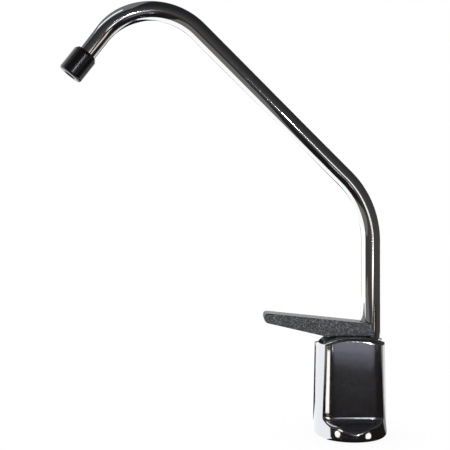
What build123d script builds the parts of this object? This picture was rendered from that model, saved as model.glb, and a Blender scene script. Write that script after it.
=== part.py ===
from build123d import *
import math
import os

# Deck-mounted lever tap with a swivelling gooseneck spout, in millimetres.
# The origin is on the body's axis in the plane of the deck. +Z is up, and the
# spout and the lever point towards -X.

os.makedirs("parts", exist_ok=True)

# Clearances
static_gap = 0.03
running_gap = 0.05
thread_gap = 0.05
free_gap = 0.3
past = 1.0  # how far a cutter runs past the face that it leaves by
near = 0.01  # how close an edge or a corner lies to the place that it is picked by

# Body: a slightly conical round casting with two side flats, whose sides roll off
body_height = 49.5
body_base_radius = 18.3
body_taper = 1.0
base_edge_round = 2.0
crown_flat_radius = 8.0
shoulder_radius = 15.0
shoulder_edge_round = 1.6
across_flats = 23.4
flat_width = 18.0
flat_roll_radius = 12.0
flat_roll_angle = 30.0
flat_bottom_z = 11.0
cove_radius = 3.0
rim_roll_radius = 5.5
flat_edge_round = 1.8

# Gasket in the underside of the base
gasket_rim = 1.8
gasket_width = 5.0
gasket_thickness = 1.2

# Shank with a 7/16 in thread, and a socket for 1/4 in supply tube in its lower end
shank_radius = 5.56
shank_length = 52.0
shank_bore_radius = 2.8
supply_socket_radius = 3.25
supply_socket_depth = 12.0
ferrule_mouth_width = 1.15

# What clamps the tap under a deck of this thickness
deck_thickness = 12.0
deck_washer_radius = 14.0
deck_washer_thickness = 2.0
lock_washer_radius = 10.5
lock_washer_thickness = 0.8
lock_washer_teeth = 12
lock_tooth_depth = 1.6
lock_tooth_gap_width = 1.8
mounting_nut_flats = 19.0
mounting_nut_thickness = 5.5
hex_chamfer_slope = 0.6

# Compression nut and ferrule for the supply tube
supply_nut_flats = 14.3
supply_nut_length = 13.0
supply_nut_overlap = 7.0
supply_nut_floor = 2.2
ferrule_edge_wall = 0.15
ferrule_wall = 1.2
ferrule_length = 4.6

# Spout: 3/8 in tube, straight riser, easy bend, slope, tight bend, outlet
tube_radius = 4.75
tube_wall = 0.8
spout_swing = 9.0
riser_height = 47.0
lower_bend_radius = 43.0
slope_angle = 43.8
slope_length = 101.9
upper_bend_radius = 31.0
outlet_angle = 52.5
outlet_length = 11.3

# Spout socket, which hangs from the crown, and the pieces in it from the top down
socket_wall = 1.2
bush_wall = 0.85
bush_depth = 1.75
bush_height = 4.3
bush_above_clip = 0.4
clip_width = 1.0
clip_groove_depth = 0.7
clip_opening = 3.0
spigot_length = 18.0
solder_depth = 8.0
ring_groove_height = 1.5
ring_groove_depth = 1.0
ring_groove_first = 2.2
ring_groove_pitch = 3.6
ring_groove_count = 2
spigot_gap_below = 4.0

# Water way: inlet passage, seat, chamber, and cross port to the spout socket
inlet_passage_radius = 2.6
shank_top_wall = 4.0
seat_below_socket = 1.0
seat_bore_radius = 3.0
seat_wall = 2.0
seat_ring_height = 3.0
seat_lip_width = 0.8
seat_lip_height = 0.8
cross_port_radius = 2.0
cross_port_floor_gap = 0.5

# Stem, its washer and the washer's screw
stem_radius = 2.5
stem_head_radius = 2.6
stem_head_thickness = 4.4
stem_flat_length = 2.9
washer_overlap = 0.25
washer_thickness = 2.0
holder_rim = 0.55
holder_rim_depth = 1.4
holder_thickness = 2.2
chamber_flow_gap = 1.2
seat_screw_radius = 1.0
seat_screw_length = 5.0
seat_screw_drill_gap = 0.5
seat_screw_head_radius = 1.8
seat_screw_head_height = 1.2
seat_screw_slot = 0.5

# Valve spring
spring_wire_radius = 0.45
spring_stem_gap = 1.05
spring_turns = 6

# Bonnet, screwed into the crown in front of the spout
bonnet_to_socket_wall = 1.04
bonnet_length = 12.5
bonnet_thread_wall = 0.7
bonnet_flange_width = 1.3
bonnet_flange_height = 1.6
bonnet_edge_round = 0.5
bonnet_seal_height = 1.1
bonnet_key_hole_radius = 0.7
bonnet_key_hole_depth = 1.0
stem_seal_depth = 7.5
stem_seal_section = 1.3
stem_seal_groove_height = 1.7

# Lever: its heights are above the crown, its lengths are from the spout's axis
lever_width = 14.0
lever_length = 53.5
lever_heel_length = 24.0
lever_seat_gap = 0.15
lever_rear_height = 6.15
lever_top_slope = 5.75
lever_underside_slope = 12.8
lever_tip_top_round = 1.8
lever_tip_bottom_round = 2.7
lever_edge_round = 0.6
lever_fork_front_gap = 0.75
lever_pin_height = 3.3
lever_pin_radius = 1.0
lever_pin_recess = 0.3
lever_pin_blind_wall = 2.2
stem_pocket_length = 7.2
stem_pocket_height = 3.2
lever_wall = 2.0
lever_core_front_wall = 3.4
lever_core_rear_wall = 2.2
lever_rib_thickness = 1.2
lever_rib_count = 2

# Tip cap on the free end, and the flow straightener in it
tip_wall = 1.25
tip_length = 13.3
tip_chamfer_height = 1.6
tip_chamfer_width = 1.1
tip_edge_round = 1.2
tip_cover = 8.9
tip_insert_thickness = 1.6
tip_insert_hole_radius = 0.75
tip_insert_holes = 6
tip_insert_circle = 2.0
outlet_bore_radius = 3.0

# Radii that fit round each other
body_top_radius = body_base_radius - body_taper
socket_radius = tube_radius + bush_wall
fork_half_width = tube_radius + free_gap
tip_radius = tube_radius + tip_wall
gasket_outer_radius = body_base_radius - base_edge_round - gasket_rim
gasket_inner_radius = gasket_outer_radius - gasket_width
seat_ring_radius = seat_bore_radius + seat_wall
lip_radius = seat_bore_radius + seat_lip_width
washer_radius = lip_radius + washer_overlap
holder_radius = washer_radius + holder_rim
chamber_radius = holder_radius + chamber_flow_gap
bonnet_thread_radius = chamber_radius + bonnet_thread_wall
bonnet_flange_radius = bonnet_thread_radius + bonnet_flange_width
bonnet_recess_radius = bonnet_flange_radius + 2 * static_gap
spring_mean_radius = stem_radius + spring_stem_gap + spring_wire_radius
ferrule_mouth_radius = supply_socket_radius + ferrule_mouth_width
ferrule_bore_radius = supply_socket_radius + static_gap
ferrule_radius = ferrule_bore_radius + ferrule_wall
supply_nut_hole_radius = ferrule_bore_radius + ferrule_edge_wall

# Places along X: the spout near the rear, the valve in front of it
spout_x = body_top_radius - socket_wall - socket_radius
valve_x = spout_x - socket_radius - bonnet_to_socket_wall - bonnet_recess_radius
lever_tip_x = spout_x - lever_length
lever_heel_x = spout_x - lever_heel_length

# Heights, from the crown down
half_flats = across_flats / 2
shoulder_z = (body_height - shoulder_radius
              + math.sqrt(shoulder_radius ** 2 - (body_top_radius - crown_flat_radius) ** 2))
riser_top_z = body_height + riser_height
lever_rear_top_z = body_height + lever_rear_height
lever_pin_z = body_height + lever_pin_height
bush_top_z = body_height - bush_depth
bush_low_z = bush_top_z - bush_height
clip_top_z = bush_low_z - bush_above_clip
clip_low_z = clip_top_z - clip_width
spigot_top_z = clip_low_z - running_gap
spigot_low_z = spigot_top_z - spigot_length
tube_low_z = spigot_top_z - solder_depth
socket_floor_z = spigot_low_z - spigot_gap_below
cross_port_z = socket_floor_z + cross_port_floor_gap + cross_port_radius
bonnet_flange_low_z = body_height - bonnet_flange_height
bonnet_shelf_z = bonnet_flange_low_z - bonnet_seal_height
bonnet_low_z = body_height - bonnet_length
stem_seal_z = body_height - stem_seal_depth
seat_top_z = socket_floor_z - seat_below_socket
seat_low_z = seat_top_z - seat_ring_height
shank_top_z = seat_low_z - shank_top_wall

# Heights, from the seat up
lip_top_z = seat_top_z + seat_lip_height
washer_low_z = lip_top_z + running_gap
washer_top_z = washer_low_z + washer_thickness
holder_top_z = washer_top_z + holder_thickness

# Heights under the deck
deck_washer_low_z = -deck_thickness - deck_washer_thickness
lock_washer_low_z = deck_washer_low_z - lock_washer_thickness
mounting_nut_low_z = lock_washer_low_z - mounting_nut_thickness
supply_nut_top_z = supply_nut_overlap - shank_length
supply_nut_low_z = supply_nut_top_z - supply_nut_length


def upright(x, radius, low_z, high_z):
    """A solid rod on a vertical axis."""
    rod = Cylinder(radius, high_z - low_z, align=(Align.CENTER, Align.CENTER, Align.MIN))
    return Pos(x, 0, low_z) * rod


def sleeve(x, outer, inner, low_z, high_z):
    """A plain ring or tube on a vertical axis."""
    return upright(x, outer, low_z, high_z) - upright(x, inner, low_z - past, high_z + past)


def o_ring(x, inner_radius, section, z):
    """A rubber ring whose section is a circle."""
    return Pos(x, 0, z) * Torus(inner_radius + section / 2, section / 2)


def side_plate(points, thickness):
    """A plate with an outline in the XZ plane, centred on Y = 0."""
    outline = Polyline(*points, close=True)
    return extrude(make_face(Plane.XZ * outline), thickness / 2, both=True)


def turned(points):
    """A solid of revolution about Z from an outline of (radius, height) points."""
    return revolve(make_face(Plane.XZ * Polyline(*points, close=True)), Axis.Z)


def corner_at(face, x, z):
    """The corner of a face in the XZ plane that lies at (x, z)."""
    return [v for v in face.vertices() if math.hypot(v.X - x, v.Z - z) < near]


def hex_nut(flats, low_z, high_z):
    """A hexagonal prism whose corners are chamfered at both faces."""
    corner_radius = flats / math.sqrt(3)
    chamfer_height = (corner_radius - flats / 2) * hex_chamfer_slope
    prism = Pos(0, 0, low_z) * extrude(RegularPolygon(corner_radius, 6), high_z - low_z)
    blank = turned([
        (0, low_z),
        (flats / 2, low_z),
        (corner_radius, low_z + chamfer_height),
        (corner_radius, high_z - chamfer_height),
        (flats / 2, high_z),
        (0, high_z),
    ])
    return prism & blank


def coil(mean_radius, wire_radius, low_z, high_z, turns):
    """A round-wire spring: each quarter turn is a pair of tangent arcs."""
    rise = (high_z - low_z - 2 * wire_radius) / (turns * 2 * math.pi)

    def point(angle):
        return Vector(mean_radius * math.cos(angle), mean_radius * math.sin(angle),
                      low_z + wire_radius + rise * angle)

    def heading(angle):
        return Vector(-mean_radius * math.sin(angle), mean_radius * math.cos(angle), rise).normalized()

    arcs = []
    for quarter in range(turns * 4):
        start, end = point(quarter * math.pi / 2), point((quarter + 1) * math.pi / 2)
        leave, arrive = heading(quarter * math.pi / 2), heading((quarter + 1) * math.pi / 2)
        chord = end - start
        along = chord.dot(leave + arrive)
        spread = 2 * (1 - leave.dot(arrive))
        reach = (math.sqrt(along ** 2 + spread * chord.dot(chord)) - along) / spread
        middle = (start + end + (leave - arrive) * reach) * 0.5
        through = (end - arrive * reach) - (start + leave * reach)
        arcs.append(Edge.make_tangent_arc(start, leave, middle))
        arcs.append(Edge.make_tangent_arc(middle, through.normalized(), end))
    section = Plane(origin=point(0), z_dir=heading(0)) * Circle(wire_radius)
    return sweep(section, path=Wire(arcs))


def body_shell():
    """The chromed casting, with its bores."""
    half_shoulder = math.atan2(body_top_radius - crown_flat_radius,
                               shoulder_z - body_height + shoulder_radius) / 2
    shoulder_middle = (crown_flat_radius + shoulder_radius * math.sin(half_shoulder),
                       body_height - shoulder_radius * (1 - math.cos(half_shoulder)))
    outline = [
        Line((0, 0), (body_base_radius, 0)),
        Line((body_base_radius, 0), (body_top_radius, shoulder_z)),
        ThreePointArc((body_top_radius, shoulder_z), shoulder_middle, (crown_flat_radius, body_height)),
        Line((crown_flat_radius, body_height), (0, body_height)),
        Line((0, body_height), (0, 0)),
    ]
    section = make_face(Plane.XZ * (Curve() + outline))
    section = fillet(corner_at(section, body_base_radius, 0), base_edge_round)
    section = fillet(corner_at(section, body_top_radius, shoulder_z), shoulder_edge_round)
    blank, cut = revolve(section, Axis.Z), side_flats()
    body = blank - cut
    body = fillet([edge for edge in body.edges() if is_between(edge, blank, cut)], flat_edge_round)
    return body - body_bores()


def side_flats():
    """The stock removed at each side of the body."""
    path = flat_path()
    along = path % 0
    start = Plane(origin=path @ 0, x_dir=(-along.Y, along.X, 0), z_dir=along)
    cutter = sweep(start * flat_profile(), path=path)
    return cutter + mirror(cutter, about=Plane.XZ)


def flat_profile():
    """The cut square to the flat: a wall, a cove at its foot, and a rim that rolls over outwards."""
    depth = body_base_radius - half_flats
    above = body_height + past
    reach = cove_radius + rim_roll_radius
    roll_x = depth - rim_roll_radius
    roll_z = flat_bottom_z - math.sqrt(reach ** 2 - (roll_x - cove_radius) ** 2)
    cove_centre = Vector(cove_radius, flat_bottom_z)
    join = cove_centre + (Vector(roll_x, roll_z) - cove_centre) * (cove_radius / reach)
    outline = [
        Line((0, above), (0, flat_bottom_z)),
        TangentArc((0, flat_bottom_z), join, tangent=(0, -1)),
        TangentArc((depth, roll_z), join, tangent=(0, 1)),
        Line((depth, roll_z), (depth + past, roll_z)),
        Line((depth + past, roll_z), (depth + past, above)),
        Line((depth + past, above), (0, above)),
    ]
    return make_face(Curve() + outline)


def flat_path():
    """The flat seen from above, from one side of the body to the other."""
    turn = math.radians(flat_roll_angle)
    inward = Vector(math.cos(turn), -math.sin(turn))
    roll_start = Vector(flat_width / 2, half_flats)
    roll_end = roll_start + Vector(math.sin(turn), math.cos(turn) - 1) * flat_roll_radius
    out = roll_end + inward * body_base_radius
    return Wire([
        Edge.make_line((-out.X, out.Y), (-roll_end.X, roll_end.Y)),
        Edge.make_tangent_arc((-roll_end.X, roll_end.Y), (inward.X, -inward.Y), (-roll_start.X, roll_start.Y)),
        Edge.make_line((-roll_start.X, roll_start.Y), roll_start),
        Edge.make_tangent_arc(roll_start, (1, 0), roll_end),
        Edge.make_line(roll_end, out),
    ])


def is_between(edge, *solids):
    """True for an edge whose middle lies on the faces of all these solids."""
    middle = edge.position_at(0.5)
    return all(min(face.distance_to(middle) for face in solid.faces()) < near for solid in solids)


def body_bores():
    """Everything that is bored out of the casting."""
    bores = upright(0, shank_radius + thread_gap, -past, shank_top_z)
    bores += sleeve(0, gasket_outer_radius, gasket_inner_radius, -past, gasket_thickness)
    bores += upright(valve_x / 2, inlet_passage_radius, shank_top_z - past, seat_low_z + past)
    bores += upright(valve_x, seat_ring_radius + static_gap, seat_low_z, seat_top_z + past)
    bores += upright(valve_x, chamber_radius, seat_top_z, bonnet_low_z + past)
    bores += upright(valve_x, bonnet_thread_radius + thread_gap, bonnet_low_z, body_height + past)
    bores += upright(valve_x, bonnet_recess_radius, bonnet_shelf_z, body_height + past)
    port = Cylinder(cross_port_radius, spout_x - valve_x)
    bores += Pos((spout_x + valve_x) / 2, 0, cross_port_z) * Rot(0, 90, 0) * port
    bores += upright(spout_x, socket_radius, socket_floor_z, body_height + past)
    bores += upright(spout_x, socket_radius + clip_groove_depth, clip_low_z - running_gap,
                     clip_top_z + running_gap)
    return bores


def base_gasket():
    """The flat gasket in the underside of the base."""
    return sleeve(0, gasket_outer_radius - static_gap, gasket_inner_radius + static_gap, 0, gasket_thickness)


def shank():
    """The threaded mounting shank, which carries the water up."""
    mouth_top_z = ferrule_mouth_width - shank_length
    tube = sleeve(0, shank_radius, shank_bore_radius, -shank_length, shank_top_z)
    tube -= upright(0, supply_socket_radius, -shank_length - past, supply_socket_depth - shank_length)
    return tube - turned([
        (0, -shank_length - past),
        (ferrule_mouth_radius + past, -shank_length - past),
        (supply_socket_radius, mouth_top_z),
        (0, mouth_top_z),
    ])


def deck_washer():
    """The rubber washer that bears on the underside of the deck."""
    return sleeve(0, deck_washer_radius, shank_radius + free_gap, deck_washer_low_z, -deck_thickness)


def lock_washer():
    """The steel washer with teeth round its outer edge."""
    washer = sleeve(0, lock_washer_radius, shank_radius + free_gap, lock_washer_low_z, deck_washer_low_z)
    gap = Pos(lock_washer_radius, 0, lock_washer_low_z) * Box(
        2 * lock_tooth_depth, lock_tooth_gap_width, 4 * lock_washer_thickness)
    for tooth in range(lock_washer_teeth):
        washer -= Rot(0, 0, 360 * tooth / lock_washer_teeth) * gap
    return washer


def mounting_nut():
    """The hexagonal nut that clamps the tap to the deck."""
    nut = hex_nut(mounting_nut_flats, mounting_nut_low_z, lock_washer_low_z)
    return nut - upright(0, shank_radius + thread_gap, mounting_nut_low_z - past, lock_washer_low_z + past)


def supply_nut():
    """The compression nut, with a cone inside that squeezes the ferrule."""
    nut = hex_nut(supply_nut_flats, supply_nut_low_z, supply_nut_top_z)
    nut -= upright(0, supply_nut_hole_radius, supply_nut_low_z - past, supply_nut_top_z + past)
    cone_low_z = supply_nut_low_z + supply_nut_floor
    thread_radius = shank_radius + thread_gap
    return nut - turned([
        (0, cone_low_z),
        (supply_nut_hole_radius, cone_low_z),
        (thread_radius, cone_low_z + thread_radius - supply_nut_hole_radius),
        (thread_radius, supply_nut_top_z + past),
        (0, supply_nut_top_z + past),
    ])


def supply_ferrule():
    """The compression sleeve, coned at both ends to match the shank and the nut."""
    edge_radius = ferrule_bore_radius + ferrule_edge_wall
    cone = ferrule_radius - edge_radius
    top_z = ferrule_mouth_radius - edge_radius - shank_length - static_gap
    low_z = top_z - ferrule_length
    return turned([
        (ferrule_bore_radius, low_z),
        (edge_radius, low_z),
        (ferrule_radius, low_z + cone),
        (ferrule_radius, top_z - cone),
        (edge_radius, top_z),
        (ferrule_bore_radius, top_z),
    ])


def valve_seat():
    """The seat ring, with a raised lip that the washer closes on."""
    ring = sleeve(valve_x, seat_ring_radius, seat_bore_radius, seat_low_z, seat_top_z)
    return ring + sleeve(valve_x, lip_radius, seat_bore_radius, seat_top_z, lip_top_z)


def seat_washer():
    """The rubber disc that closes the seat."""
    return sleeve(valve_x, washer_radius, seat_screw_radius + running_gap, washer_low_z, washer_top_z)


def seat_screw():
    """The screw that holds the washer in the stem."""
    head_low_z = washer_low_z - seat_screw_head_height
    screw = upright(valve_x, seat_screw_head_radius, head_low_z, washer_low_z)
    screw += upright(valve_x, seat_screw_radius, washer_low_z, washer_top_z + seat_screw_length)
    slot = Box(3 * seat_screw_head_radius, seat_screw_slot, seat_screw_head_height)
    return screw - Pos(valve_x, 0, head_low_z) * slot


def stem():
    """The valve stem: disc holder, rod and flattened eye for the lever's pin."""
    head_top_z = lever_pin_z + stem_head_radius
    rod = upright(valve_x, stem_radius, washer_top_z, lever_pin_z)
    eye = Cylinder(stem_head_radius, stem_head_thickness)
    flat_low_z = lever_pin_z - stem_flat_length
    keep = Box(3 * stem_radius, stem_head_thickness, head_top_z - flat_low_z,
               align=(Align.CENTER, Align.CENTER, Align.MIN))
    head = rod & (Pos(valve_x, 0, flat_low_z) * keep)
    solid = upright(valve_x, stem_radius, washer_top_z, flat_low_z)
    solid += head
    solid += Pos(valve_x, 0, lever_pin_z) * Rot(90, 0, 0) * eye
    solid += upright(valve_x, holder_radius, washer_top_z - holder_rim_depth, holder_top_z)
    solid -= upright(valve_x, washer_radius + static_gap, washer_low_z - past, washer_top_z)
    solid -= upright(valve_x, seat_screw_radius + static_gap, washer_top_z - past,
                     washer_top_z + seat_screw_length + seat_screw_drill_gap)
    pin_hole = Cylinder(lever_pin_radius + running_gap, 3 * stem_head_thickness)
    return solid - Pos(valve_x, 0, lever_pin_z) * Rot(90, 0, 0) * pin_hole


def stem_spring():
    """The compression spring between the disc holder and the bonnet."""
    spring = coil(spring_mean_radius, spring_wire_radius, holder_top_z + running_gap,
                  bonnet_low_z - running_gap, spring_turns)
    return Pos(valve_x, 0, 0) * spring


def bonnet():
    """The gland that guides the stem, with its flange flush with the crown."""
    flange = upright(valve_x, bonnet_flange_radius, bonnet_flange_low_z, body_height)
    flange = fillet(flange.edges().filter_by(GeomType.CIRCLE).sort_by(Axis.Z)[-1], bonnet_edge_round)
    bore_radius = stem_radius + running_gap
    gland = flange + upright(valve_x, bonnet_thread_radius, bonnet_low_z, bonnet_flange_low_z)
    gland -= upright(valve_x, bore_radius, bonnet_low_z - past, body_height + past)
    gland -= upright(valve_x, bore_radius + stem_seal_section,
                     stem_seal_z - stem_seal_groove_height / 2, stem_seal_z + stem_seal_groove_height / 2)
    for side in (-1, 1):
        hole = Cylinder(bonnet_key_hole_radius, 2 * bonnet_key_hole_depth)
        gland -= Pos(valve_x, side * (bore_radius + bonnet_flange_radius) / 2, body_height) * hole
    return gland


def bonnet_o_ring():
    """The ring that seals the bonnet's flange on its shelf in the body."""
    inner = bonnet_thread_radius + static_gap
    return o_ring(valve_x, inner, bonnet_seal_height, bonnet_shelf_z + bonnet_seal_height / 2)


def stem_o_ring():
    """The ring that seals the stem in the bonnet."""
    return o_ring(valve_x, stem_radius + running_gap / 2, stem_seal_section, stem_seal_z)


def lever_top_z(x):
    """Height of the lever's flat top at a place along it."""
    return lever_rear_top_z + (spout_x - x) * math.tan(math.radians(lever_top_slope))


def lever():
    """The moulded lever: forked at the rear, cored from below."""
    heel_z = body_height + lever_seat_gap
    tip_low_z = heel_z + (lever_heel_x - lever_tip_x) * math.tan(math.radians(lever_underside_slope))
    corners = Polyline(
        (spout_x, heel_z),
        (spout_x, lever_rear_top_z),
        (lever_tip_x, lever_top_z(lever_tip_x)),
        (lever_tip_x, tip_low_z),
        (lever_heel_x, heel_z),
        close=True,
    )
    side = make_face(Plane.XZ * corners)
    side = fillet(corner_at(side, lever_tip_x, lever_top_z(lever_tip_x)), lever_tip_top_round)
    side = fillet(corner_at(side, lever_tip_x, tip_low_z), lever_tip_bottom_round)
    blank = extrude(side, lever_width / 2, both=True)
    blank = fillet([edge for edge in blank.edges() if on_lever_side(edge)], lever_edge_round)
    return blank - fork_slot() - stem_pocket() - lever_core() - lever_pin_hole()


def on_lever_side(edge):
    """True for the edges that run round the lever's two sides."""
    crosswise = abs(edge.tangent_at(0.5).Y) > 0.5
    return not crosswise and abs(abs(edge.position_at(0.5).Y) - lever_width / 2) < near


def fork_slot():
    """The round-ended slot at the rear that clears the spout's riser."""
    front_x = spout_x - tube_radius - lever_fork_front_gap
    centre_x = front_x + fork_half_width
    slot = upright(centre_x, fork_half_width, body_height - past, body_height + 2 * lever_rear_height)
    straight = Box(fork_half_width, 2 * fork_half_width, 2 * lever_rear_height + past,
                   align=(Align.MIN, Align.CENTER, Align.MIN))
    return slot + Pos(centre_x, 0, body_height - past) * straight


def stem_pocket():
    """The pocket under the lever that takes the stem's head."""
    pocket = Box(stem_pocket_length, stem_head_thickness + 2 * free_gap,
                 lever_pin_height + stem_pocket_height + past,
                 align=(Align.CENTER, Align.CENTER, Align.MIN))
    return Pos(valve_x, 0, body_height - past) * pocket


def lever_core():
    """The hollow under the blade, crossed by ribs."""
    front_x = lever_tip_x + lever_core_front_wall
    rear_x = lever_heel_x - lever_core_rear_wall
    low_z = body_height - past
    core = side_plate([
        (front_x, low_z),
        (front_x, lever_top_z(front_x) - lever_wall),
        (rear_x, lever_top_z(rear_x) - lever_wall),
        (rear_x, low_z),
    ], lever_width - 2 * lever_wall)
    for rib in range(lever_rib_count):
        rib_x = front_x + (rear_x - front_x) * (rib + 1) / (lever_rib_count + 1)
        core -= Pos(rib_x, 0, lever_pin_z) * Box(lever_rib_thickness, 2 * lever_width, 8 * lever_wall)
    return core


def lever_pin_length():
    """The pin stops short of both sides of the lever."""
    return lever_width - lever_pin_recess - lever_pin_blind_wall


def pin_place():
    """Middle of the lever's pin, which enters from the rear side only."""
    middle_y = (lever_pin_blind_wall - lever_pin_recess) / 2
    return Pos(valve_x, middle_y, lever_pin_z) * Rot(90, 0, 0)


def lever_pin_hole():
    """The blind hole for the pin, open at the +Y side."""
    hole = Cylinder(lever_pin_radius + static_gap, lever_pin_length() + past)
    return Pos(0, past / 2, 0) * pin_place() * hole


def lever_pin():
    """The steel pin that hinges the lever on the stem."""
    return pin_place() * Cylinder(lever_pin_radius, lever_pin_length())


def swung(solid):
    """Moves a piece from the spout's own plane to its place on the body."""
    return Pos(spout_x, 0, 0) * Rot(0, 0, spout_swing) * solid


def slope_heading():
    angle = math.radians(slope_angle)
    return Vector(-math.cos(angle), 0, math.sin(angle))


def outlet_heading():
    angle = math.radians(outlet_angle)
    return Vector(-math.cos(angle), 0, -math.sin(angle))


def spout_corners():
    """The corners of the tube's centre line in the spout's own plane, and where the cap starts."""
    lower_leg = lower_bend_radius * math.tan(math.radians(90 - slope_angle) / 2)
    upper_leg = upper_bend_radius * math.tan(math.radians(slope_angle + outlet_angle) / 2)
    first = Vector(0, 0, riser_top_z + lower_leg)
    second = first + slope_heading() * (lower_leg + slope_length + upper_leg)
    cap_top = second + outlet_heading() * (upper_leg + outlet_length)
    return first, second, cap_top


def spout_tube():
    """The chromed gooseneck tube."""
    first, second, cap_top = spout_corners()
    start = Vector(0, 0, tube_low_z)
    end = cap_top + outlet_heading() * tip_cover
    path = FilletPolyline(start, first, second, end, radius=[lower_bend_radius, upper_bend_radius])
    section = Pos(0, 0, tube_low_z) * (Circle(tube_radius) - Circle(tube_radius - tube_wall))
    return swung(sweep(section, path=path))


def spout_spigot():
    """The turned sleeve brazed on the tube's lower end."""
    outer = socket_radius - running_gap
    spigot = sleeve(0, outer, tube_radius - tube_wall, spigot_low_z, spigot_top_z)
    spigot -= upright(0, tube_radius + static_gap, tube_low_z, spigot_top_z + past)
    for groove in range(ring_groove_count):
        low_z = spigot_low_z + ring_groove_first + groove * ring_groove_pitch
        spigot -= sleeve(0, outer + past, outer - ring_groove_depth, low_z, low_z + ring_groove_height)
    return swung(spigot)


def spout_o_rings():
    """The rings in the spigot's grooves, one group."""
    section = ring_groove_depth
    inner = socket_radius - running_gap / 2 - section
    rings = []
    for groove in range(ring_groove_count):
        z = spigot_low_z + ring_groove_first + groove * ring_groove_pitch + ring_groove_height / 2
        rings.append(swung(Pos(0, 0, z) * Torus(inner + section / 2, section / 2)))
    return Compound(children=rings)


def spout_clip():
    """The split retaining ring above the spigot."""
    outer = socket_radius + clip_groove_depth - static_gap
    clip = sleeve(spout_x, outer, tube_radius + free_gap, clip_low_z, clip_top_z)
    opening = Box(2 * outer, clip_opening, 4 * clip_width)
    return clip - Pos(spout_x + outer, 0, clip_low_z) * opening


def spout_bush():
    """The black bush that steadies the riser and shows as a thin collar."""
    return sleeve(spout_x, socket_radius - static_gap, tube_radius + running_gap, bush_low_z, bush_top_z)


def at_tip(solid):
    """Moves a piece made on Z, pointing up, to the tube's free end."""
    cap_top = spout_corners()[2]
    place = Plane(origin=cap_top, x_dir=(0, 1, 0), z_dir=outlet_heading())
    return swung(place.location * solid)


def spout_tip():
    """The black cap, with a socket for the tube and a lip at the outlet."""
    cap = upright(0, tip_radius, 0, tip_length)
    ends = cap.edges().filter_by(GeomType.CIRCLE).sort_by(Axis.Z)
    cap = chamfer(ends[0], tip_chamfer_height, tip_chamfer_width)
    ends = cap.edges().filter_by(GeomType.CIRCLE).sort_by(Axis.Z)
    cap = fillet(ends[-1], tip_edge_round)
    cap -= upright(0, tube_radius + static_gap, -past, tip_cover + tip_insert_thickness + static_gap)
    return at_tip(cap - upright(0, outlet_bore_radius, -past, tip_length + past))


def tip_insert():
    """The flow straightener between the tube's end and the cap's lip."""
    low_z = tip_cover + static_gap / 2
    top_z = low_z + tip_insert_thickness
    disc = sleeve(0, tube_radius - static_gap, tip_insert_hole_radius, low_z, top_z)
    for hole in range(tip_insert_holes):
        drill = upright(tip_insert_circle, tip_insert_hole_radius, low_z - past, top_z + past)
        disc -= Rot(0, 0, 360 * hole / tip_insert_holes) * drill
    return at_tip(disc)


pieces = [
    body_shell, base_gasket, shank, deck_washer, lock_washer, mounting_nut, supply_nut, supply_ferrule,
    valve_seat, seat_washer, seat_screw, stem, stem_spring, bonnet, bonnet_o_ring, stem_o_ring,
    lever, lever_pin, spout_tube, spout_spigot, spout_o_rings, spout_clip, spout_bush, spout_tip, tip_insert,
]

for piece in pieces:
    export_step(piece(), f"parts/{piece.__name__}.step")
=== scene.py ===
import math

import bmesh
import bpy
from mathutils import Matrix, Vector


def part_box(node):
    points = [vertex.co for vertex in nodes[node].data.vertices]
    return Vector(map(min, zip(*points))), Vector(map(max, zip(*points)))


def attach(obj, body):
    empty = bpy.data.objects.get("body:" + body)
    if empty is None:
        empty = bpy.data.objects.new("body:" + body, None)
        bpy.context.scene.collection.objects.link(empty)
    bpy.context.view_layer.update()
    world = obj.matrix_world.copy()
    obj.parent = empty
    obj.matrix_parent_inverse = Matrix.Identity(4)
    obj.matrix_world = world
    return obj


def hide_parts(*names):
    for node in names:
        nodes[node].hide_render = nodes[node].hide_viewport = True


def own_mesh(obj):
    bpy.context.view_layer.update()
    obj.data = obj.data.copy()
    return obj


# Looks of the deck-mounted lever tap: chrome body and gooseneck, black lever and tip.
# Lengths are in millimetres and are turned to metres by MM.

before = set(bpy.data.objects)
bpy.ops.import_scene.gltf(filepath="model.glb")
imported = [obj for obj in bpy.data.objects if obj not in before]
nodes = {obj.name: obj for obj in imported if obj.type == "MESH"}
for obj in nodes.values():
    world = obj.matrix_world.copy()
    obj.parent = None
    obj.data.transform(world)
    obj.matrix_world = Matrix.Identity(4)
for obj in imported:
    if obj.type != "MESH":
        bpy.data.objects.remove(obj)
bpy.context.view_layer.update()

MM = 0.001

# Camera: level, opposite the middle of the spout
EYE = (-62.25, -400, 105)
LENS_MM = 64
SENSOR_MM = 36
HORIZON_SHIFT = -0.0029

# Spout tube, as it is bent
TUBE_RADIUS = 4.75
TUBE_WALL = 0.8
SPOUT_X = 10.5
SPOUT_SWING = 9.0
CROWN_Z = 49.5
RISER_HEIGHT = 47.0
LOWER_BEND_RADIUS = 43.0
SLOPE_ANGLE = 43.8
SLOPE_LENGTH = 101.9
UPPER_BEND_RADIUS = 31.0
OUTLET_ANGLE = 52.5
OUTLET_LENGTH = 11.3
TIP_COVER = 8.9
TUBE_SIDES = 96
BEND_STEP = 1.0

# Shank: 7/16 in thread with 24 turns to the inch, bore, and socket with a coned mouth
SHANK_RADIUS = 5.56
SHANK_BORE_RADIUS = 2.8
THREAD_PITCH = 25.4 / 24
THREAD_DEPTH = 0.55
THREAD_SIDES = 72
THREAD_STEPS = 6
SOCKET_RADIUS = 3.25
SOCKET_DEPTH = 12.0
MOUTH_WIDTH = 1.15
MERGE_MM = 0.002
CREASE_ANGLE = 30

# A point just left of the body's top: the upright cards stand round it, and the lamp faces it
SPOT = Vector((-20, 0, 60))

# Heights of the level cards: the chrome mirrors those below the floor, where a higher one hides a lower one
SHEET_Z = -1
HAZE_Z = -1.5
BEIGE_Z = -2
TABLE_Z = -3
SIDE_TABLE_Z = -4
CEILING_Z = 1300
DISC_SIDES = 32

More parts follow.
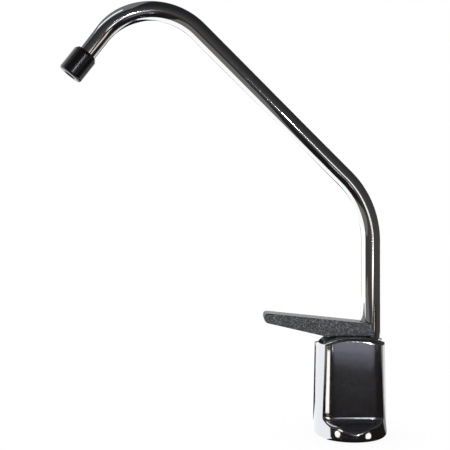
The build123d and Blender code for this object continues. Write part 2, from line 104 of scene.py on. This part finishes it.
# Floor: half its side, and how much of it glows white for the camera
FLOOR_HALF = 6000
FLOOR_GLOW_SHARE = 0.85
FLOOR_GLOW = 1.04

# Scratches: the turn of each set in degrees, the share of the noise that shows, and its soft edge
PANEL_SCRATCHES = ((0, 0, 20), (35, 0, 0), (-50, 10, 0), (80, 0, 30))
TUBE_SCRATCHES = ((0, 0, 9), (46, 0, 9), (20, 30, 0))
SCRATCH_SHARE = 0.36
SCRATCH_EDGE = 0.05


def linear(code):
    """An sRGB hex colour as a linear RGBA."""
    values = [int(code[i:i + 2], 16) / 255 for i in (1, 3, 5)]
    return tuple(v / 12.92 if v <= 0.04045 else ((v + 0.055) / 1.055) ** 2.4 for v in values) + (1.0,)


def node(tree, kind, inputs=(), **settings):
    """Adds a shader node with its properties.

    Inputs are in the node's order, or in a dict by name or number. Each is a value, a socket, or a node
    whose first output is meant. A Map Range takes a value, from low, from high, to low and to high.
    """
    made = tree.nodes.new(kind)
    for name, value in settings.items():
        setattr(made, name, value)
    given = inputs if isinstance(inputs, dict) else dict(enumerate(inputs))
    for name, value in given.items():
        source = value.outputs[0] if isinstance(value, bpy.types.Node) else value
        if isinstance(source, bpy.types.NodeSocket):
            tree.links.new(source, made.inputs[name])
        else:
            made.inputs[name].default_value = source
    return made


def new_material(name):
    """An empty material with its node tree and output node."""
    material = bpy.data.materials.new(name)
    material.use_nodes = True
    tree = material.node_tree
    tree.nodes.clear()
    return material, tree, node(tree, "ShaderNodeOutputMaterial")


def repeats(size_mm):
    """Texture scale of a pattern whose grain measures this many millimetres."""
    return 1 / (size_mm * MM)


# Materials


def hairlines(tree, place, turns, width_mm, length_mm):
    """Sparse straight scratches in several directions: 1 on a scratch, 0 beside it."""
    total = None
    for turn in turns:
        rotation = [math.radians(angle) for angle in turn]
        scale = (repeats(width_mm), repeats(length_mm), repeats(width_mm))
        laid = node(tree, "ShaderNodeMapping", {"Vector": place, "Rotation": rotation, "Scale": scale})
        streak = node(tree, "ShaderNodeTexNoise", {"Vector": laid, "Scale": 1.0, "Detail": 1.0})
        low = 1 - SCRATCH_SHARE
        line = node(tree, "ShaderNodeMapRange", (streak, low, low + SCRATCH_EDGE, 0.0, 1.0))
        if total is None:
            total = line
        else:
            total = node(tree, "ShaderNodeMath", (total, line), operation="MAXIMUM")
    return total


def finish_with(tree, out, height, strength, depth_mm, inputs):
    """Ends a material: one bump and one principled shader."""
    bump = node(tree, "ShaderNodeBump", {"Height": height, "Strength": strength, "Distance": depth_mm * MM})
    shader = node(tree, "ShaderNodeBsdfPrincipled", inputs | {"Normal": bump})
    tree.links.new(shader.outputs["BSDF"], out.inputs["Surface"])


def chrome_plate(name, colour, wave_mm, wave_strength, scratch_mm, scratch_haze, scratch_turns):
    """Bright nickel-chrome plate on a buffed casting or tube: a cold mirror with wiping hairlines."""
    material, tree, out = new_material(name)
    place = node(tree, "ShaderNodeTexCoord").outputs["Object"]
    lines = hairlines(tree, place, scratch_turns, *scratch_mm)
    clouds = node(tree, "ShaderNodeTexNoise", {"Vector": place, "Scale": repeats(11.0), "Detail": 5.0,
                                               "Roughness": 0.6})
    haze = node(tree, "ShaderNodeMapRange", (clouds, 0.35, 0.75, 0.035, 0.05))
    rough = node(tree, "ShaderNodeMath", (lines, scratch_haze, haze), operation="MULTIPLY_ADD")
    waves = node(tree, "ShaderNodeTexNoise", {"Vector": place, "Scale": repeats(wave_mm), "Detail": 2.0,
                                              "Roughness": 0.6})
    finish_with(tree, out, waves, wave_strength, 0.1,
                {"Base Color": linear(colour), "Metallic": 1.0, "Roughness": rough})
    return material


def machined_brass():
    """Free-cutting brass as it leaves the lathe: fine turning rings, warm and slightly dull."""
    material, tree, out = new_material("machined_brass")
    place = node(tree, "ShaderNodeTexCoord").outputs["Object"]
    stains = node(tree, "ShaderNodeTexNoise", {"Vector": place, "Scale": repeats(5.0), "Detail": 5.0,
                                               "Roughness": 0.6})
    tarnish = node(tree, "ShaderNodeMapRange", (stains, 0.35, 0.7, 0.0, 1.0))
    colour = node(tree, "ShaderNodeMix", {0: tarnish, 6: linear("#d9b36c"), 7: linear("#b8924c")},
                  data_type="RGBA")
    rings = node(tree, "ShaderNodeTexWave",
                 {"Vector": place, "Scale": repeats(0.35) / 20, "Distortion": 0.4}, bands_direction="Z")
    rough = node(tree, "ShaderNodeMapRange", (tarnish, 0.0, 1.0, 0.2, 0.34))
    finish_with(tree, out, rings.outputs["Fac"], 0.12, 0.02,
                {"Base Color": colour.outputs[2], "Metallic": 1.0, "Roughness": rough})
    return material


def zinc_plate():
    """Stamped and turned steel with bright zinc plate: cold grey, mottled."""
    material, tree, out = new_material("zinc_plated_steel")
    place = node(tree, "ShaderNodeTexCoord").outputs["Object"]
    spangle = node(tree, "ShaderNodeTexVoronoi", {"Vector": place, "Scale": repeats(1.6)})
    tone = node(tree, "ShaderNodeMapRange", (spangle.outputs["Distance"], 0.0, 0.9, 0.0, 1.0))
    colour = node(tree, "ShaderNodeMix", {0: tone, 6: linear("#c6c9cc"), 7: linear("#a9adb2")},
                  data_type="RGBA")
    rough = node(tree, "ShaderNodeMapRange", (tone, 0.0, 1.0, 0.28, 0.4))
    fine = node(tree, "ShaderNodeTexNoise", {"Vector": place, "Scale": repeats(0.4), "Detail": 3.0,
                                             "Roughness": 0.6})
    finish_with(tree, out, fine, 0.12, 0.05,
                {"Base Color": colour.outputs[2], "Metallic": 1.0, "Roughness": rough})
    return material


def drawn_stainless():
    """Stainless wire and rod: bright, with draw lines along Z."""
    material, tree, out = new_material("drawn_stainless_steel")
    place = node(tree, "ShaderNodeTexCoord").outputs["Object"]
    scale = (repeats(0.1), repeats(0.1), repeats(3.0))
    laid = node(tree, "ShaderNodeMapping", {"Vector": place, "Scale": scale})
    lines = node(tree, "ShaderNodeTexNoise", {"Vector": laid, "Scale": 1.0, "Detail": 2.0})
    rough = node(tree, "ShaderNodeMapRange", (lines, 0.3, 0.7, 0.16, 0.3))
    finish_with(tree, out, lines, 0.1, 0.02,
                {"Base Color": linear("#c9c8c5"), "Metallic": 1.0, "Roughness": rough})
    return material


def spark_grained_abs():
    """Black ABS moulded in a spark-grained tool: a matt grain, whose high spots get a painted glint of
    lighter colour.
    """
    material, tree, out = new_material("spark_grained_abs")
    place = node(tree, "ShaderNodeTexCoord").outputs["Object"]
    coarse = node(tree, "ShaderNodeTexNoise", {"Vector": place, "Scale": repeats(0.8), "Detail": 4.0,
                                               "Roughness": 0.7})
    # Painted glint: the high spots of the grain are coloured lighter, as if they caught the light.
    painted_grain_glint = node(tree, "ShaderNodeMapRange", (coarse, 0.5, 0.66, 0.0, 1.0))
    colour = node(tree, "ShaderNodeMix", {0: painted_grain_glint, 6: linear("#333537"), 7: linear("#7d7f82")},
                  data_type="RGBA")
    rough = node(tree, "ShaderNodeMapRange", (coarse, 0.35, 0.7, 0.48, 0.3))
    finish_with(tree, out, coarse, 0.6, 0.2,
                {"Base Color": colour.outputs[2], "IOR": 1.53, "Roughness": rough})
    return material


def glossy_abs():
    """Black ABS moulded in a polished tool: soft gloss with faint flow unevenness."""
    material, tree, out = new_material("glossy_abs")
    place = node(tree, "ShaderNodeTexCoord").outputs["Object"]
    flow = node(tree, "ShaderNodeTexNoise", {"Vector": place, "Scale": repeats(4.0), "Detail": 2.0,
                                             "Roughness": 0.6})
    rough = node(tree, "ShaderNodeMapRange", (flow, 0.3, 0.7, 0.23, 0.25))
    finish_with(tree, out, flow, 0.003, 0.1,
                {"Base Color": linear("#0a0a0c"), "IOR": 1.53, "Roughness": rough})
    return material


def moulded_acetal():
    """Black acetal: smooth, slightly waxy."""
    material, tree, out = new_material("moulded_acetal")
    place = node(tree, "ShaderNodeTexCoord").outputs["Object"]
    fine = node(tree, "ShaderNodeTexNoise", {"Vector": place, "Scale": repeats(0.4), "Detail": 3.0,
                                             "Roughness": 0.6})
    rough = node(tree, "ShaderNodeMapRange", (fine, 0.3, 0.7, 0.3, 0.42))
    finish_with(tree, out, fine, 0.15, 0.05,
                {"Base Color": linear("#101011"), "IOR": 1.48, "Roughness": rough})
    return material


def nitrile_rubber():
    """Moulded nitrile: dull black with a dusty bloom."""
    material, tree, out = new_material("nitrile_rubber")
    place = node(tree, "ShaderNodeTexCoord").outputs["Object"]
    dust = node(tree, "ShaderNodeTexNoise", {"Vector": place, "Scale": repeats(2.5), "Detail": 5.0,
                                             "Roughness": 0.6})
    bloom = node(tree, "ShaderNodeMapRange", (dust, 0.45, 0.75, 0.0, 1.0))
    colour = node(tree, "ShaderNodeMix", {0: bloom, 6: linear("#141414"), 7: linear("#242423")},
                  data_type="RGBA")
    rough = node(tree, "ShaderNodeMapRange", (bloom, 0.0, 1.0, 0.55, 0.8))
    fine = node(tree, "ShaderNodeTexNoise", {"Vector": place, "Scale": repeats(0.3), "Detail": 3.0,
                                             "Roughness": 0.6})
    finish_with(tree, out, fine, 0.3, 0.05,
                {"Base Color": colour.outputs[2], "IOR": 1.52, "Roughness": rough})
    return material


def dress(material, *names):
    """Gives CAD nodes their finish."""
    for name in names:
        mesh = nodes[name].data
        mesh.materials.clear()
        mesh.materials.append(material)


body_chrome = chrome_plate("buffed_chrome_casting", "#ced0d3", 2.6, 0.015, (0.22, 9.0), 0.18,
                           PANEL_SCRATCHES)
tube_chrome = chrome_plate("chromed_drawn_tube", "#dcdee0", 1.3, 0.001, (0.12, 4.0), 0.06, TUBE_SCRATCHES)
brass = machined_brass()
stainless = drawn_stainless()

dress(body_chrome, "body_shell", "bonnet", "supply_nut")
dress(tube_chrome, "spout_tube")
dress(brass, "stem", "valve_seat", "spout_spigot", "shank", "supply_ferrule")
dress(zinc_plate(), "mounting_nut", "lock_washer")
dress(stainless, "lever_pin", "stem_spring", "spout_clip", "seat_screw")
dress(spark_grained_abs(), "lever")
dress(glossy_abs(), "spout_tip")
dress(moulded_acetal(), "spout_bush", "tip_insert")
dress(nitrile_rubber(), "base_gasket", "deck_washer", "seat_washer", "bonnet_o_ring", "stem_o_ring",
      "spout_o_rings")

# Pieces made here


def piece_from(name, mesh, material, body, slot, *replaced):
    """Shows a mesh as a piece that rides on a body in place of CAD nodes."""
    for face in mesh.polygons:
        face.use_smooth = True
    mesh.materials.append(material)
    made = bpy.data.objects.new(name, mesh)
    bpy.context.scene.collection.objects.link(made)
    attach(made, body)
    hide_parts(*replaced)
    return made


def skin(rings):
    """Quads between rings of vertex numbers, each as long as the next, and from the last to the first."""
    faces = []
    for low, high in zip(rings, rings[1:] + rings[:1]):
        count = len(low)
        for i in range(count):
            j = (i + 1) % count
            faces.append((low[i], low[j], high[j], high[i]))
    return faces


def spout_line(start_z):
    """Points and headings along the tube's centre line, in the spout's own plane."""
    rise, out = math.radians(SLOPE_ANGLE), math.radians(OUTLET_ANGLE)
    legs = [(0.0, CROWN_Z + RISER_HEIGHT - start_z), (math.pi / 2 - rise, LOWER_BEND_RADIUS),
            (0.0, SLOPE_LENGTH), (rise + out, UPPER_BEND_RADIUS), (0.0, OUTLET_LENGTH + TIP_COVER)]
    place, lean = Vector((0, 0, start_z)), 0.0
    line = [(place.copy(), lean)]
    for turn, size in legs:
        steps = max(1, round(math.degrees(turn) / BEND_STEP))
        for _ in range(steps):
            middle = lean + turn / steps / 2
            chord = 2 * size * math.sin(turn / steps / 2) if turn else size
            place = place + Vector((-math.sin(middle), 0, math.cos(middle))) * chord
            lean += turn / steps
            line.append((place.copy(), lean))
    return line


def mark_ends(mesh, rings, sides):
    """Keeps the two cut ends of a tube crisp."""
    cut = {frozenset((ring * sides + i, ring * sides + (i + 1) % sides))
           for ring in (0, rings - 1, rings, 2 * rings - 1) for i in range(sides)}
    for edge in mesh.edges:
        if frozenset(edge.vertices) in cut:
            edge.use_edge_sharp = True


def gooseneck():
    """The chromed tube, drawn smooth, with its bore and two crisp ends."""
    line = spout_line(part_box("spout_tube")[0].z / MM)
    swing = Matrix.Translation((SPOUT_X, 0, 0)) @ Matrix.Rotation(math.radians(SPOUT_SWING), 4, "Z")
    points, rings = [], []
    for radius, order in ((TUBE_RADIUS, line), (TUBE_RADIUS - TUBE_WALL, line[::-1])):
        for place, lean in order:
            across = Vector((math.cos(lean), 0, math.sin(lean)))
            ring = []
            for side in range(TUBE_SIDES):
                angle = 2 * math.pi * side / TUBE_SIDES
                ring.append(len(points))
                offset = across * math.cos(angle) + Vector((0, 1, 0)) * math.sin(angle)
                points.append(swing @ (place + offset * radius) * MM)
            rings.append(ring)
    mesh = bpy.data.meshes.new("gooseneck")
    mesh.from_pydata(points, [], skin(rings))
    mark_ends(mesh, len(line), TUBE_SIDES)
    return piece_from("gooseneck", mesh, tube_chrome, "spout", "chrome", "spout_tube")


def upright_point(radius, turn, z):
    """A point round the upright axis of the shank."""
    angle = 2 * math.pi * turn
    return Vector((radius * math.cos(angle), radius * math.sin(angle), z)) * MM


def thread_ring(step, low_z, high_z):
    """Points of one line of the thread, once round the shank: it climbs one pitch, within the ends."""
    ring = []
    for side in range(THREAD_SIDES):
        turn = side / THREAD_SIDES
        z = min(max((step / THREAD_STEPS + turn) * THREAD_PITCH, low_z), high_z)
        groove = THREAD_DEPTH * abs(2 * (step / THREAD_STEPS % 1) - 1)
        chamfer = SHANK_RADIUS - THREAD_DEPTH + min(z - low_z, high_z - z)
        ring.append(upright_point(min(SHANK_RADIUS - groove, chamfer), turn, z))
    return ring


def tidied(mesh):
    """Merges the points that the ends of the thread share, and turns all faces outwards."""
    work = bmesh.new()
    work.from_mesh(mesh)
    bmesh.ops.remove_doubles(work, verts=work.verts, dist=MERGE_MM * MM)
    bmesh.ops.dissolve_degenerate(work, edges=work.edges, dist=MERGE_MM * MM)
    bmesh.ops.recalc_face_normals(work, faces=work.faces)
    work.to_mesh(mesh)
    work.free()
    return mesh


def threaded_shank():
    """The brass shank with its thread cut, its bore, and its socket for the supply tube."""
    low_z, high_z = (corner.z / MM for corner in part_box("shank"))
    turns_below, turns_above = math.ceil(-low_z / THREAD_PITCH), math.ceil(high_z / THREAD_PITCH)
    steps = range(-(turns_below + 1) * THREAD_STEPS, turns_above * THREAD_STEPS + 1)
    lines = [thread_ring(step, low_z, high_z) for step in steps]
    inside = [(SHANK_BORE_RADIUS, high_z), (SHANK_BORE_RADIUS, low_z + SOCKET_DEPTH),
              (SOCKET_RADIUS, low_z + SOCKET_DEPTH), (SOCKET_RADIUS, low_z + MOUTH_WIDTH),
              (SOCKET_RADIUS + MOUTH_WIDTH, low_z)]
    lines += [[upright_point(radius, side / THREAD_SIDES, z) for side in range(THREAD_SIDES)]
              for radius, z in inside]
    rings = [range(i * THREAD_SIDES, (i + 1) * THREAD_SIDES) for i in range(len(lines))]
    mesh = bpy.data.meshes.new("threaded_shank")
    mesh.from_pydata([point for line in lines for point in line], [], skin(rings))
    tidied(mesh).set_sharp_from_angle(angle=math.radians(CREASE_ANGLE))
    return piece_from("threaded_shank", mesh, brass, "tap_body", "brass", "shank")


def valve_spring():
    """The valve spring: a copy of the CAD spring's mesh, which rides on the tap body in place of the CAD
    node.
    """
    spring = nodes["stem_spring"]
    mesh = spring.data.copy()
    mesh.transform(spring.matrix_world)
    mesh.materials.clear()
    made = piece_from("valve_spring", mesh, stainless, "tap_body", "stainless", "stem_spring")
    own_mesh(made)
    return made


gooseneck()
threaded_shank()
valve_spring()

# Stage


def glow(name, colour, strength=1.0):
    """Plain emission for a studio card."""
    material, tree, out = new_material(name)
    shader = node(tree, "ShaderNodeEmission", {"Color": linear(colour), "Strength": strength})
    tree.links.new(shader.outputs["Emission"], out.inputs["Surface"])
    return material


def soft_glow(name, colour, strength=1.0):
    """Light that fades to nothing towards the edges of a clear card."""
    material, tree, out = new_material(name)
    place = node(tree, "ShaderNodeTexCoord").outputs["Generated"]
    off_centre = node(tree, "ShaderNodeVectorMath", (place, (0.5, 0.5, 0.5)), operation="SUBTRACT")
    reach = node(tree, "ShaderNodeVectorMath", (off_centre,), operation="LENGTH")
    share = node(tree, "ShaderNodeMapRange", (reach.outputs["Value"], 0.15, 0.5, strength, 0.0),
                 interpolation_type="SMOOTHSTEP")
    light = node(tree, "ShaderNodeEmission", {"Color": linear(colour), "Strength": share})
    clear = node(tree, "ShaderNodeBsdfTransparent")
    both = node(tree, "ShaderNodeAddShader", (light, clear))
    tree.links.new(both.outputs["Shader"], out.inputs["Surface"])
    return material


def card(name, corners, material):
    """A flat card that is seen in the chrome, and neither by the camera nor as light on matt surfaces."""
    mesh = bpy.data.meshes.new(name)
    mesh.from_pydata([Vector(corner) * MM for corner in corners], [], [range(len(corners))])
    mesh.materials.append(material)
    made = bpy.data.objects.new(name, mesh)
    bpy.context.scene.collection.objects.link(made)
    made.visible_camera = False
    made.visible_diffuse = False
    made.visible_shadow = False
    made.visible_transmission = False
    return made


def level_card(name, z, outline, material):
    """A level card at this height, through these X and Y."""
    return card(name, [(x, y, z) for x, y in outline], material)


def wall_card(name, ends, distance, low_z, high_z, material):
    """An upright card between two azimuths, which are 0 at the camera's side and 90 to the right."""
    turns = [math.radians(azimuth) for azimuth in ends]
    first, last = (SPOT.xy + Vector((math.sin(turn), -math.cos(turn))) * distance for turn in turns)
    corners = [(*first, low_z), (*last, low_z), (*last, high_z), (*first, high_z)]
    return card(name, corners, material)


def disc(name, centre, radii, material):
    """An upright oval card that faces the tap's body."""
    facing = Vector((centre[0], centre[1], 0)).to_track_quat("Z", "Y")
    ring = [2 * math.pi * i / DISC_SIDES for i in range(DISC_SIDES)]
    corners = [Vector(centre) + facing @ Vector((math.cos(a) * radii[0], math.sin(a) * radii[1], 0))
               for a in ring]
    return card(name, corners, material)


def lamp(name, place, size, power, colour):
    """A round lamp that faces the tap."""
    light = bpy.data.lights.new(name, "AREA")
    light.shape = "DISK"
    light.size = size * MM
    light.energy = power
    light.color = linear(colour)[:3]
    made = bpy.data.objects.new(name, light)
    made.location = Vector(place) * MM
    made.rotation_euler = (Vector(place) - SPOT).to_track_quat("Z", "Y").to_euler()
    bpy.context.scene.collection.objects.link(made)
    return made


def pale_floor():
    """The white floor, which keeps a soft contact shadow, isn't mirrored and is clear from below."""
    material, tree, out = new_material("pale_floor")
    path = node(tree, "ShaderNodeLightPath").outputs
    seen = node(tree, "ShaderNodeMath", (path["Is Camera Ray"], path["Is Transmission Ray"]),
                operation="MAXIMUM")
    share = node(tree, "ShaderNodeMath", (seen, FLOOR_GLOW_SHARE), operation="MULTIPLY")
    matt = node(tree, "ShaderNodeBsdfDiffuse", {"Color": linear("#f4f4f4")})
    white = node(tree, "ShaderNodeEmission", {"Color": linear("#ffffff"), "Strength": FLOOR_GLOW})
    mixed = node(tree, "ShaderNodeMixShader", (share, matt, white))
    clear = node(tree, "ShaderNodeBsdfTransparent")
    side = node(tree, "ShaderNodeNewGeometry").outputs["Backfacing"]
    both = node(tree, "ShaderNodeMixShader", (side, mixed, clear))
    tree.links.new(both.outputs["Shader"], out.inputs["Surface"])
    mesh = bpy.data.meshes.new("pale_floor")
    half = FLOOR_HALF * MM
    mesh.from_pydata([(-half, -half, 0), (half, -half, 0), (half, half, 0), (-half, half, 0)], [],
                     [(0, 1, 2, 3)])
    mesh.materials.append(material)
    floor = bpy.data.objects.new("pale_floor", mesh)
    bpy.context.scene.collection.objects.link(floor)
    floor.visible_glossy = False


def room():
    """White for the camera, soft light for matt surfaces, and a dark room in the chrome."""
    world = bpy.data.worlds.new("room")
    bpy.context.scene.world = world
    world.use_nodes = True
    tree = world.node_tree
    tree.nodes.clear()
    path = node(tree, "ShaderNodeLightPath").outputs
    soft = node(tree, "ShaderNodeBackground", {"Color": linear("#ffffff"), "Strength": 0.9})
    way = node(tree, "ShaderNodeSeparateXYZ", (node(tree, "ShaderNodeTexCoord").outputs["Generated"],))
    low = node(tree, "ShaderNodeMapRange", (way.outputs["Z"], -0.45, -0.05, 0.0, 1.0))
    high = node(tree, "ShaderNodeMapRange", (way.outputs["Z"], 0.0, 0.8, 0.0, 1.0))
    below = node(tree, "ShaderNodeMix", {0: low, 6: linear("#262322"), 7: linear("#4d4a48")},
                 data_type="RGBA")
    walls = node(tree, "ShaderNodeMix", {0: high, 6: below.outputs[2], 7: linear("#27282b")},
                 data_type="RGBA")
    dark = node(tree, "ShaderNodeBackground", {"Color": walls.outputs[2], "Strength": 1.0})
    white = node(tree, "ShaderNodeBackground", {"Color": linear("#ffffff"), "Strength": 1.0})
    mirrored = node(tree, "ShaderNodeMixShader", (path["Is Glossy Ray"], soft, dark))
    seen = node(tree, "ShaderNodeMath", (path["Is Camera Ray"], path["Is Transmission Ray"]),
                operation="MAXIMUM")
    shown = node(tree, "ShaderNodeMixShader", (seen, mirrored, white))
    out = node(tree, "ShaderNodeOutputWorld")
    tree.links.new(shown.outputs["Shader"], out.inputs["Surface"])


def white_sheets():
    """The white paper beside and behind the tap."""
    level_card("sheet_left", SHEET_Z, [(-14, -16), (-700, -226), (-700, 700), (-60, 700), (-90, 330),
                                       (-165, 290), (-62, 75), (-8, 20)],
               glow("white_sweep_paper", "#ffffff", 1.3))
    level_card("sheet_right", SHEET_Z, [(16, 6), (330, 240), (120, 360), (0, 20)],
               glow("grey_sweep_paper", "#eeeeec", 1.1))
    level_card("sheet_right_shade", SHEET_Z, [(16, 0), (330, 110), (330, 240), (16, 6)],
               glow("shaded_sweep_paper", "#a2a19f"))
    wall_paper = glow("white_wall_paper", "#ffffff", 1.4)
    wall_card("sweep_left", (-73, -152), 560, -2, 560, wall_paper)
    wall_card("sweep_behind", (-166, -206), 700, -2, 460, wall_paper)


def tables_and_boards():
    """What lies and stands in front of the tap, most of it dark."""
    level_card("dark_table", TABLE_Z, [(-14, -17), (-104, -46), (-115, -120), (-100, -200), (-60, -290),
                                       (60, -300), (200, -250), (260, -100), (240, 120), (17, 4)],
               glow("dark_table_top", "#1f1c1b"))
    level_card("table_front_left", SIDE_TABLE_Z, [(-125, -50), (-140, -150), (-130, -330), (-170, -480),
                                                  (-900, -900), (-900, -260)],
               glow("grey_brown_table", "#7b7772"))
    card("paper_front_left", [(-48, -60, -1), (-31, -68, -1), (-25, -70, 34), (-39, -65, 34)],
         glow("pink_white_paper", "#fff8f0", 1.7))
    level_card("card_front_right", BEIGE_Z, [(245, -352), (432, -533), (556, -362), (326, -240)],
               glow("beige_card", "#f0e2cf"))
    card("shade_board", [(171, -192, -3), (237, -106, -3), (237, -106, 42), (171, -192, 42)],
         glow("black_board", "#2c2a29"))
    wall_card("wall_front_left", (-20, -66), 1300, -80, 700, glow("grey_brown_wall", "#48423e"))


def windows():
    """Three soft windows that overlap, in front of the tap and somewhat to its right."""
    wall_card("window_front", (2, 28), 1000, -45, 240, soft_glow("window_light", "#fbfbff", 0.4))
    wall_card("window_low", (2, 34), 990, -60, 85, soft_glow("low_window_light", "#fffcf6", 1.4))
    wall_card("window_side", (19, 31), 980, -10, 120, soft_glow("side_window_light", "#fffcf4", 2.6))


def lights_and_ceiling():
    """The haze and the note on the table, the strip light, the grey ceiling and two warm lamps."""
    level_card("haze_on_the_table", HAZE_Z, [(-50, -560), (164, -560), (144, -180), (-50, -180)],
               soft_glow("blue_grey_haze", "#6d6c7b"))
    level_card("bright_note", SHEET_Z, [(-24, -320), (-5, -320), (-5, -294), (-24, -294)],
               glow("cream_paper", "#fff6ea", 1.5))
    card("strip_light", [(-299, -338, 916), (-331, -168, 966), (-616, -176, 810), (-584, -346, 760)],
         glow("strip_light_glass", "#ffffff", 1.4))
    level_card("ceiling_left", CEILING_Z, [(-2400, -900), (-160, -900), (-160, 1200), (-2400, 1200)],
               glow("grey_ceiling", "#7a7c80"))
    warm = glow("warm_lamp_glass", "#fff4e2", 2.0)
    disc("spot_left", (-20.6, -28, 0.3), (3.8, 1.6), warm)
    disc("spot_right", (17.5, -26, 0.0), (3.8, 1.6), warm)


pale_floor()
room()
white_sheets()
tables_and_boards()
windows()
lights_and_ceiling()
lamp("lamp_front", (322, -1360, 140), 42, 2.2, "#eef2ff")

# Camera


def make_camera():
    """A level camera in front of the tap, whose picture is moved a little instead of being tilted."""
    data = bpy.data.cameras.new("camera")
    data.lens = LENS_MM
    data.sensor_width = SENSOR_MM
    data.shift_y = HORIZON_SHIFT
    camera = bpy.data.objects.new("camera", data)
    camera.location = Vector(EYE) * MM
    camera.rotation_euler = (math.radians(90), 0, 0)
    bpy.context.scene.collection.objects.link(camera)
    bpy.context.scene.camera = camera


make_camera()
bpy.context.scene.view_settings.view_transform = "Standard"
